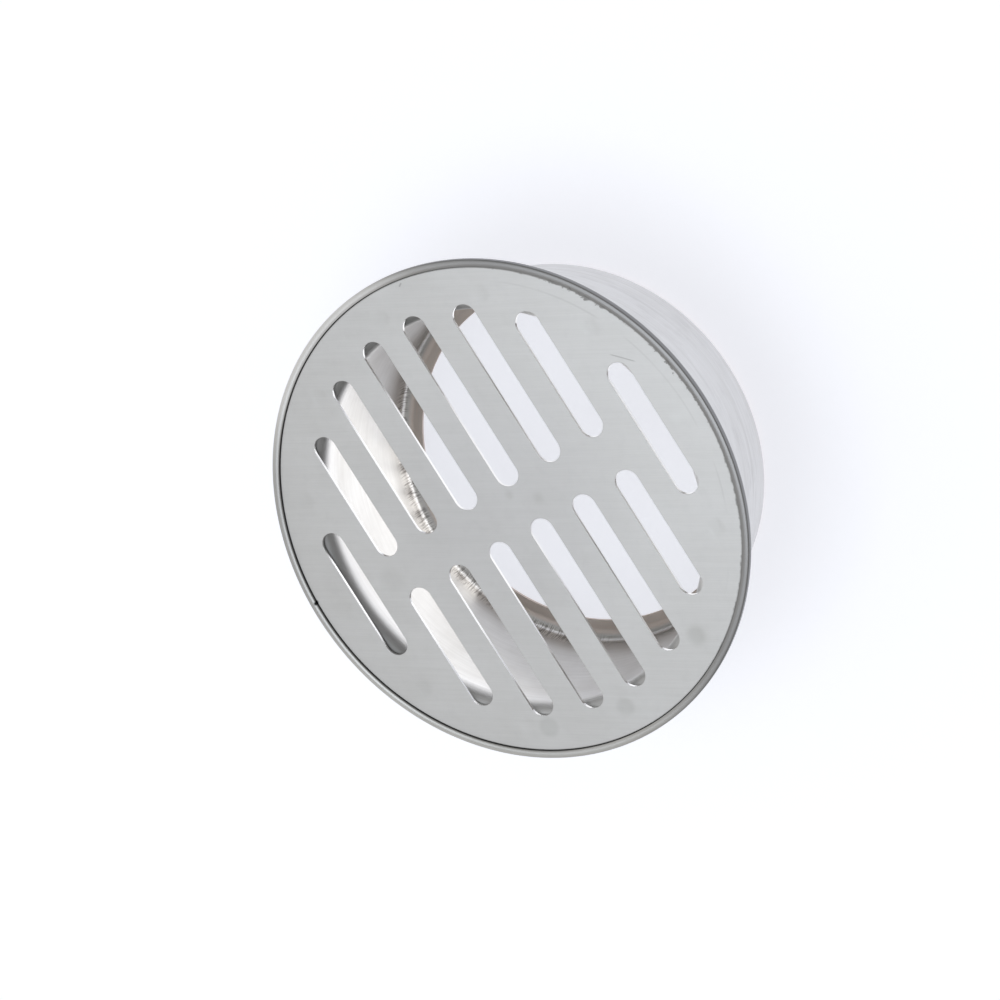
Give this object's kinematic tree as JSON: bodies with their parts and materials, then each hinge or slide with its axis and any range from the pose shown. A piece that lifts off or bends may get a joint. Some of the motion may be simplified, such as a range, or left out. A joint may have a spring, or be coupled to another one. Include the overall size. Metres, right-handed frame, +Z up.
{
  "type": "floor drain grate",
  "caption": "Round slotted stainless steel drain grate in a rimmed tray, with a short lipped collar that hangs down into a drain pipe.",
  "frame": {"origin": "centre of the underside of the outlet lip, on the surface that the grate stands on", "axes": "+Z up through the collar to the slotted plate; the slots run along X and their rows are spaced along Y"},
  "size_m": [0.128, 0.128, 0.0459],
  "materials": {
    "satin_plate_steel": "fine straight satin brushing with faint smudges",
    "tray_steel": "satin sheet with a rounded, slightly brighter folded rim",
    "collar_steel": "bright drawn sheet with fine turned polishing marks",
    "weld_steel": "dull fused weld metal"
  },
  "bodies": {
    "root": {"cover_plate": "satin_plate_steel", "rim_tray": "tray_steel", "collar": "collar_steel", "weld_nugget_01": "weld_steel", "weld_nugget_02": "weld_steel", "weld_nugget_03": "weld_steel", "weld_nugget_04": "weld_steel", "weld_nugget_05": "weld_steel", "weld_nugget_06": "weld_steel", "weld_nugget_07": "weld_steel", "weld_nugget_08": "weld_steel", "weld_nugget_09": "weld_steel", "weld_nugget_10": "weld_steel", "weld_nugget_11": "weld_steel", "weld_nugget_12": "weld_steel"}
  },
  "joints": []
}
